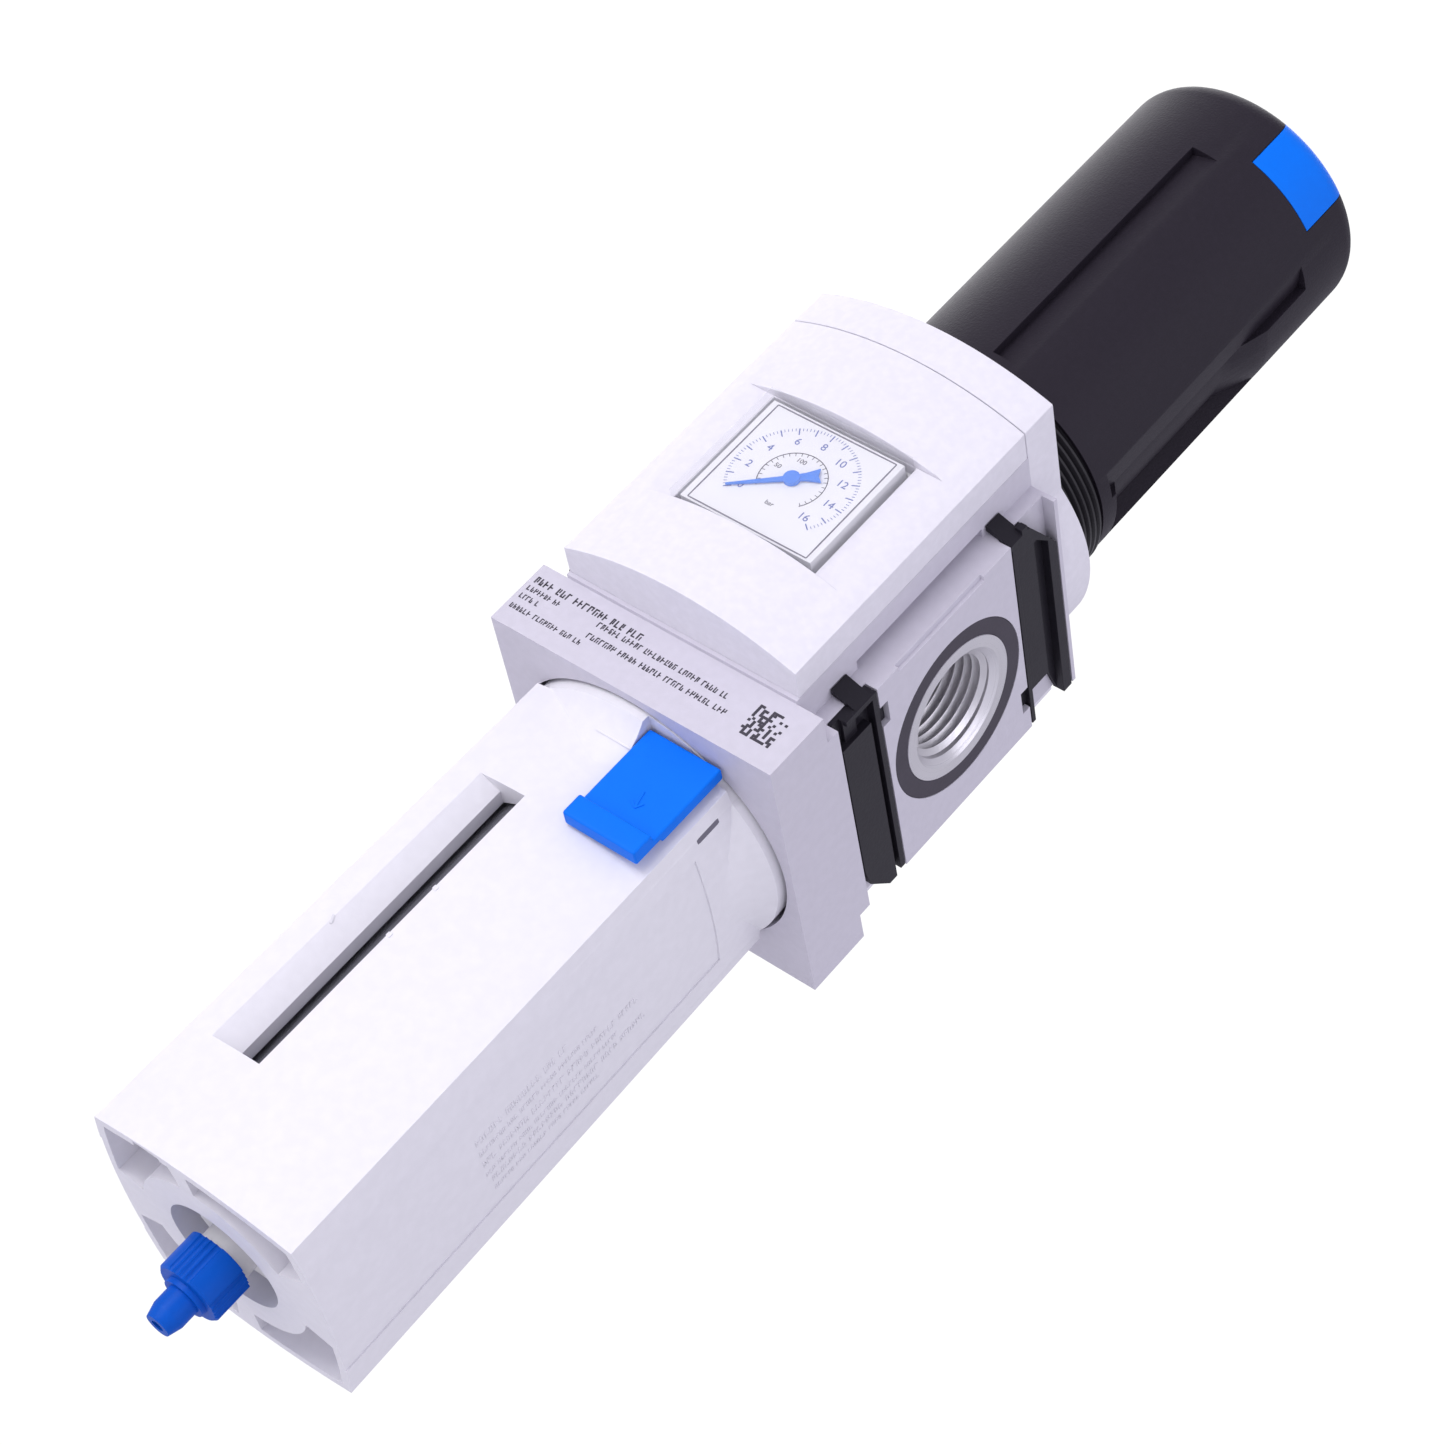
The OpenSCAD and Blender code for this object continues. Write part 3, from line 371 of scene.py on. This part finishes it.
# a small four-sided section carried round Z as it rises, as the ridge of a thread
def swept(name, thread):
    letGo()
    middle = (thread["radius"] * mm, 0, thread["start"] * mm)
    bpy.ops.mesh.primitive_circle_add(vertices=4, radius=thread["height"] * mm, location=middle,
                                      rotation=(math.pi / 2, 0, 0))
    piece = bpy.context.object
    piece.name = name
    bpy.ops.object.transform_apply(location=True, rotation=True, scale=True)
    bpy.ops.object.mode_set(mode="EDIT")
    bpy.ops.mesh.select_all(action="SELECT")
    bpy.ops.transform.resize(value=(thread["depth"] / thread["height"], 1, 1), center_override=middle)
    bpy.ops.object.mode_set(mode="OBJECT")
    addModifier(piece, "SCREW", {"angle": math.radians(360), "screw_offset": thread["rise"] * mm,
                                 "iterations": thread["turns"], "steps": sweep["steps"],
                                 "render_steps": sweep["steps"]})
    take(piece)
    bpy.ops.object.mode_set(mode="EDIT")
    bpy.ops.mesh.select_all(action="SELECT")
    bpy.ops.mesh.remove_doubles(threshold=sweep["merge"] * mm)
    bpy.ops.mesh.fill_holes(sides=0)
    bpy.ops.mesh.select_all(action="SELECT")
    bpy.ops.mesh.normals_make_consistent(inside=False)
    bpy.ops.object.mode_set(mode="OBJECT")
    bpy.ops.object.shade_smooth_by_angle(angle=math.radians(sweep["smoothAngle"]))
    return piece


# the thread of the bonnet, cut into its plain cylinder
bracketThread = {"radius": 26.3, "depth": 1.15, "height": 0.7, "start": -0.6, "rise": 1.5, "turns": 8}


def cutBracketThread(bonnet):
    cutter = swept("cutter", bracketThread)
    addModifier(bonnet, "BOOLEAN", {"operation": "DIFFERENCE", "solver": "EXACT", "object": cutter})
    bpy.data.objects.remove(cutter)
    take(bonnet)
    bpy.ops.object.shade_smooth_by_angle(angle=math.radians(softening["smoothAngle"]))


cutBracketThread(soft["bonnet"])
print("bracket thread cut")

# the pipe thread of each port, as a ridge on the plain bore that starts at firstX
pipeThread = {"radius": 10.62, "depth": 1.2, "height": 0.86, "start": 0, "rise": 1.814, "turns": 7,
              "firstX": 16.8}


def addPipeThreads():
    ridge = swept("thread_outlet", pipeThread)
    turned = Matrix.Rotation(math.pi / 2, 4, "Y")
    ridge.data.transform(Matrix.Translation((pipeThread["firstX"] * mm, 0, portZ)) @ turned)
    other = bpy.data.objects.new("thread_inlet", ridge.data.copy())
    other.data.transform(Matrix.Rotation(math.pi, 4, "Z"))
    bpy.context.collection.objects.link(other)
    for piece in (ridge, other):
        dress(piece, "bareCast", "head")


addPipeThreads()
print("pipe threads made")

# a mark's edges are cut by this share of its size; rays at a face start this many mm in front of it
marking = {"edge": 0.1, "reach": 100}
front = (Vector((1, 0, 0)), Vector((0, 0, 1)))
outletSide = (Vector((0, 1, 0)), Vector((0, 0, 1)))


# one block with softened edges, which every printed or raised mark copies
def makeMarkBlock():
    letGo()
    bpy.ops.mesh.primitive_cube_add(size=1)
    block = bpy.context.object
    bpy.ops.object.mode_set(mode="EDIT")
    bpy.ops.mesh.select_all(action="SELECT")
    bpy.ops.mesh.bevel(offset=marking["edge"], segments=1, affect="EDGES")
    bpy.ops.object.mode_set(mode="OBJECT")
    mesh = block.data
    bpy.data.objects.remove(block)
    return mesh


markBlock = makeMarkBlock()


def joined(copies, name, finish, body):
    letGo()
    for copy in copies:
        copy.select_set(True)
    bpy.context.view_layer.objects.active = copies[0]
    bpy.ops.object.join()
    piece = bpy.context.object
    piece.name = name
    bpy.ops.object.transform_apply(location=True, rotation=True, scale=True)
    dress(piece, finish, body)
    return piece


# where a point of a face lies on a target, and the axes of the surface there
def placedOn(target, face, across, along, turn=0.0):
    right, up = face
    outward = right.cross(up)
    start = (right * across + up * along + outward * marking["reach"]) * mm
    _, place, normal, _ = target.ray_cast(start, -outward)
    high = up * math.cos(turn) + right * math.sin(turn)
    wide = high.cross(normal).normalized()
    return place, wide, normal.cross(wide), normal


# each mark: its place across and along the face, its width, its height and its turn; all in mm
def marked(name, target, face, marks, rise, finish, body):
    copies = []
    for across, along, width, height, turn in marks:
        place, wide, high, normal = placedOn(target, face, across, along, turn)
        copy = bpy.data.objects.new(name, markBlock.copy())
        sized = Matrix((wide * width * mm, high * height * mm, normal * rise * mm)).transposed().to_4x4()
        copy.matrix_world = Matrix.Translation(place) @ sized
        bpy.context.collection.objects.link(copy)
        copies.append(copy)
    return joined(copies, name, finish, body)


# raised words, each with its place across and along the face
def worded(name, target, face, words, size, rise, finish, body):
    copies = []
    for word, across, along in words:
        place, wide, high, normal = placedOn(target, face, across, along)
        letGo()
        bpy.ops.object.text_add()
        text = bpy.context.object
        text.data.body = word
        text.data.size = size * mm
        text.data.align_x = "CENTER"
        text.data.align_y = "CENTER"
        text.data.resolution_u = 4
        text.data.extrude = rise * mm / 2
        bpy.ops.object.convert(target="MESH")
        text = bpy.context.object
        text.matrix_world = Matrix.Translation(place) @ Matrix((wide, high, normal)).transposed().to_4x4()
        copies.append(text)
    return joined(copies, name, finish, body)


# one stroke is a stem, a bar across it and a short stem; all but the counts are shares of the text's size
stroke = {"letters": (3, 8), "length": (0.42, 0.62), "stem": 0.2, "bar": 0.2, "barLifts": (-0.4, 0, 0.4),
          "shortStem": (0.18, 0.6), "shortLifts": (-0.2, 0, 0.2), "gap": 0.2, "wordGap": 0.5}


# a row of strokes of uneven length, like words too small to read
def strokes(chance, first, last, size, fixed, vertical=False):
    row = []
    place = first
    shortWide, shortHigh = stroke["shortStem"]
    while place < last:
        for _ in range(chance.randint(*stroke["letters"])):
            length = size * chance.uniform(*stroke["length"])
            if place + length > last:
                break
            inset = size * stroke["stem"] / 2
            parts = [(place + inset, 0, size * stroke["stem"], size),
                     (place + length / 2, size * chance.choice(stroke["barLifts"]), length,
                      size * stroke["bar"]),
                     (place + length - inset, size * chance.choice(stroke["shortLifts"]), size * shortWide,
                      size * shortHigh)]
            for middle, lift, wide, high in parts[:chance.randint(2, 3)]:
                if vertical:
                    row.append((fixed - lift, middle, high, wide, 0))
                else:
                    row.append((middle, fixed + lift, wide, high, 0))
            place += length + size * stroke["gap"]
        place += size * stroke["wordGap"]
    return row


# four marks round a rectangle on the gauge's axis, each moved in by the inset
def outline(halfWide, halfHigh, line, inset):
    middle = portZ / mm
    upright = [(side * (halfWide - inset), middle, line, 2 * halfHigh, 0) for side in (-1, 1)]
    level = [(0, middle + side * (halfHigh - inset), 2 * halfWide, line, 0) for side in (-1, 1)]
    return upright + level


# the dial: angles in degrees, radii and sizes in mm; numbers and ticks run clockwise from zero
dial = {"sweep": 257.0, "zero": 218.5, "rise": 0.08, "line": 0.22, "minorLine": 0.11,
        "bars": 16, "minor": 5, "outer": 11.9, "inner": 10.4, "minorInner": 11.3,
        "numbers": 8.8, "numberEvery": 2, "numberSize": 2.2,
        "arc": 6.2, "arcLine": 0.16, "arcParts": 60, "arcOverlap": 1.1, "arcTicks": 24, "arcTick": 0.7,
        "arcTickLine": 0.12, "arcEnd": 230, "arcNumbers": (50, 100), "arcNumberRadius": 4.4,
        "arcNumberSize": 1.35,
        "unit": "bar", "unitDrop": 6.2, "edge": (13.0, 12.4), "edgeLine": 0.3}


def polar(radius, degrees):
    turn = math.radians(degrees)
    return radius * math.cos(turn), portZ / mm + radius * math.sin(turn)


def radialMark(inner, outer, degrees, width):
    return (*polar((inner + outer) / 2, degrees), width, outer - inner, math.radians(90 - degrees))


# the outer scale, in bars
def addOuterScale(face):
    step = dial["sweep"] / dial["bars"]
    bars = [dial["zero"] - step * bar for bar in range(dial["bars"] + 1)]
    major = [radialMark(dial["inner"], dial["outer"], turn, dial["line"]) for turn in bars]
    minor = [radialMark(dial["minorInner"], dial["outer"], turn - step * part / dial["minor"],
                        dial["minorLine"])
             for turn in bars[:-1] for part in range(1, dial["minor"])]
    marked("dial_scale", face, front, major + minor, dial["rise"], "inkBlue", "head")
    numbers = [(str(bar), *polar(dial["numbers"], bars[bar]))
               for bar in range(0, dial["bars"] + 1, dial["numberEvery"])]
    worded("dial_numbers", face, front, numbers, dial["numberSize"], dial["rise"], "inkBlue", "head")


# the small scale on an arc inside it
def addInnerScale(face):
    arc, span = dial["arc"], dial["sweep"]
    ticks = [radialMark(arc - dial["arcTick"], arc, dial["zero"] - span / dial["arcTicks"] * tick,
                        dial["arcTickLine"]) for tick in range(dial["arcTicks"] + 1)]
    half = dial["arcLine"] / 2
    length = arc * math.radians(span) / dial["arcParts"] * dial["arcOverlap"]
    rim = [radialMark(arc - half, arc + half, dial["zero"] - span * part / dial["arcParts"], length)
           for part in range(dial["arcParts"] + 1)]
    marked("dial_inner_scale", face, front, ticks + rim, dial["rise"], "inkDark", "head")
    words = [(str(number), *polar(dial["arcNumberRadius"], dial["zero"] - span * number / dial["arcEnd"]))
             for number in dial["arcNumbers"]]
    words.append((dial["unit"], 0, portZ / mm - dial["unitDrop"]))
    worded("dial_inner_numbers", face, front, words, dial["arcNumberSize"], dial["rise"], "inkDark", "head")


def addDial():
    face = nodes["gauge_dial"]
    addOuterScale(face)
    addInnerScale(face)
    marks = outline(*dial["edge"], dial["edgeLine"], 0)
    marked("dial_edge", face, front, marks, dial["rise"], "inkGrey", "head")


addDial()
print("dial printed")

# dark line round the clear window: painted shade of the gap between window and cover
windowGapShade = {"outer": (15.66, 14.26), "line": 0.32, "rise": 0.5}


def addWindowSeal():
    line = windowGapShade["line"]
    marks = outline(*windowGapShade["outer"], line, line / 2)
    # a dark grey mark stands in for the shade in the gap round the window
    marked("window_gap_painted_shade", soft["gauge_window"], front, marks, windowGapShade["rise"], "inkGrey", "head")


addWindowSeal()

# print on the collar's front: each row's first and last place across, its height and its size,
# then the speckle
collarPrint = {"seed": 4, "rise": 0.06,
               "rows": [(-29.9, -5, -75.3, 1.5), (-30, -22, -77.4, 1.1), (-30, -25.4, -79.4, 1.1),
                        (-30, -13.8, -81.9, 1.1), (-14.2, 15, -77.1, 1.2), (-14.2, 17.1, -79.9, 1.2)],
               "left": 20.4, "top": -75.2, "cells": 12, "cell": 0.56, "share": 0.56}


def printCollar():
    chance = random.Random(collarPrint["seed"])
    cell = collarPrint["cell"]
    marks = []
    for first, last, height, size in collarPrint["rows"]:
        marks += strokes(chance, first, last, size, height)
    for column in range(collarPrint["cells"]):
        for row in range(collarPrint["cells"]):
            if chance.random() < collarPrint["share"]:
                marks.append((collarPrint["left"] + cell * (column + 0.5),
                              collarPrint["top"] - cell * (row + 0.5), cell, cell, 0))
    marked("collar_print", soft["housing"], front, marks, collarPrint["rise"], "inkDark", "head")


printCollar()
print("collar printed")

# lines on the guard: on its outlet side each row's place across, first and last height and size;
# on its front each mark's place across, its height, width, length and turn
guardMarks = {"seed": 9,
              "rows": [(-6, -158, -135, 1.5), (-3, -158, -128, 1.1), (0, -158, -118, 1.5),
                       (3, -158, -124, 1.1), (5.6, -157, -117, 1.5), (8.4, -157, -130, 1.1)],
              "ticks": [(0.3, -91.5, 8, 0.35, 0), (-16, -145, 1.6, 0.5, 1.2), (-5, -142.4, 0.9, 0.9, 0),
                        (-5, -131, 0.9, 0.9, 0)],
              # the dark slot mark is painted shade inside a narrow slot near the guard's top right edge
              "slotShade": [(21.9, -94, 1.1, 5.6, 0)],
              "rowRise": 0.32, "tickRise": 0.4, "slotShadeRise": 0.1}


def markGuard():
    chance = random.Random(guardMarks["seed"])
    guard = soft["bowl_guard"]
    marks = []
    for across, first, last, size in guardMarks["rows"]:
        marks += strokes(chance, first, last, size, across, vertical=True)
    marked("guard_side_marks", guard, outletSide, marks, guardMarks["rowRise"], "guardWhite", "guard")
    marked("guard_front_marks", guard, front, guardMarks["ticks"], guardMarks["tickRise"], "guardWhite",
           "guard")
    # a thin dark grey mark stands in for the shade inside that slot
    marked("guard_slot_painted_shade", guard, front, guardMarks["slotShade"], guardMarks["slotShadeRise"], "inkGrey", "guard")


markGuard()
print("guard marked")

# arrow on the release slide, given by its tip, its direction and its sizes
slideArrow = {"tip": (13.2, -100.9), "turn": 167, "length": 3.6, "head": 1.7, "spread": 42, "line": 0.36,
              "rise": 0.3}


def addSlideArrow():
    across, along = slideArrow["tip"]
    marks = []
    for turn, length in ((0, slideArrow["length"]), (slideArrow["spread"], slideArrow["head"]),
                         (-slideArrow["spread"], slideArrow["head"])):
        direction = math.radians(slideArrow["turn"] + 180 + turn)
        marks.append((across + math.sin(direction) * length / 2, along + math.cos(direction) * length / 2,
                      slideArrow["line"], length, direction))
    marked("slide_arrow", soft["release_slide"], front, marks, slideArrow["rise"], "bluePlastic",
           "release_slide")


addSlideArrow()
print("slide marked")


# the camera: lengths in mm, angles in degrees
view = {"target": (-1.36, -0.84, -65.64), "azimuth": 31.84, "elevation": -24.47, "distance": 672.75,
        "roll": 43.81, "lens": 95.51, "sensor": 36, "nearest": 10}


def addCamera():
    azimuth, elevation, roll = (math.radians(view[key]) for key in ("azimuth", "elevation", "roll"))
    target = Vector(view["target"]) * mm
    outward = Vector((math.cos(elevation) * math.sin(azimuth), -math.cos(elevation) * math.cos(azimuth),
                      math.sin(elevation)))
    level = Vector((0, 0, 1)).cross(outward).normalized()
    above = outward.cross(level)
    right = level * math.cos(roll) + above * math.sin(roll)
    up = above * math.cos(roll) - level * math.sin(roll)
    camera = bpy.data.objects.new("camera", bpy.data.cameras.new("camera"))
    camera.data.lens = view["lens"]
    camera.data.sensor_width = view["sensor"]
    camera.data.clip_start = view["nearest"] * mm
    turned = Matrix((right, up, outward)).transposed().to_4x4()
    camera.matrix_world = Matrix.Translation(target + outward * view["distance"] * mm) @ turned
    bpy.context.collection.objects.link(camera)
    bpy.context.scene.camera = camera
    return right, up, outward


viewRight, viewUp, viewOut = addCamera()

# each light: sideways, upwards and towards the camera, in metres from the object, then its size and power
lightSettings = {
    "key": {"place": (-0.5, 0.6, 0.75), "size": 0.7, "power": 8.6, "color": (1, 0.985, 1)},
    "fill": {"place": (0.9, -0.1, 0.6), "size": 0.9, "power": 3, "color": (0.93, 0.92, 1)},
    "back": {"place": (0.1, 0.6, -0.7), "size": 0.9, "power": 5, "color": (1, 1, 1)},
}


def addLights():
    middle = Vector(view["target"]) * mm
    for name, setting in lightSettings.items():
        lamp = bpy.data.lights.new(name, "AREA")
        lamp.size = setting["size"]
        lamp.energy = setting["power"]
        lamp.color = setting["color"]
        sideways, upwards, outwards = setting["place"]
        offset = viewRight * sideways + viewUp * upwards + viewOut * outwards
        light = bpy.data.objects.new(name, lamp)
        turned = offset.to_track_quat("Z", "Y").to_matrix().to_4x4()
        light.matrix_world = Matrix.Translation(middle + offset) @ turned
        bpy.context.collection.objects.link(light)


addLights()

# the camera sees the backdrop, and surfaces are lit by the glow
studio = {"backdrop": (1, 1, 1, 1), "backdropStrength": 1.05, "glow": (0.90, 0.88, 1, 1),
          "glowStrength": 0.68}


def addWorld():
    world = bpy.data.worlds.new("studio")
    bpy.context.scene.world = world
    world.use_nodes = True
    tree = world.node_tree
    backdrop = tree.nodes["Background"]
    backdrop.inputs["Color"].default_value = studio["backdrop"]
    backdrop.inputs["Strength"].default_value = studio["backdropStrength"]
    glow = tree.nodes.new("ShaderNodeBackground")
    glow.inputs["Color"].default_value = studio["glow"]
    glow.inputs["Strength"].default_value = studio["glowStrength"]
    seen = tree.nodes.new("ShaderNodeLightPath")
    choose = tree.nodes.new("ShaderNodeMixShader")
    tree.links.new(seen.outputs["Is Camera Ray"], choose.inputs[0])
    tree.links.new(glow.outputs[0], choose.inputs[1])
    tree.links.new(backdrop.outputs[0], choose.inputs[2])
    tree.links.new(choose.outputs[0], tree.nodes["World Output"].inputs["Surface"])


addWorld()

# the floor, in metres
ground = {"size": 8, "height": -0.45, "dark": (0.80, 0.80, 0.82, 1), "light": (0.84, 0.84, 0.86, 1),
          "drift": 0.4, "rough": 0.6, "gloss": 0.1}


def addFloor():
    letGo()
    bpy.ops.mesh.primitive_plane_add(size=ground["size"], location=(0, 0, ground["height"]))
    floor = bpy.context.object
    floor.name = "floor"
    f = Finish("floorPale")
    drift = f.noise(ground["drift"], 3)
    f.put(Base_Color=f.mix(drift, ground["dark"], ground["light"]),
          Roughness=ground["rough"] + drift * ground["gloss"])
    floor.data.materials.append(f.material)


addFloor()

scene = bpy.context.scene
scene.view_settings.view_transform = "Standard"
scene.view_settings.look = "None"
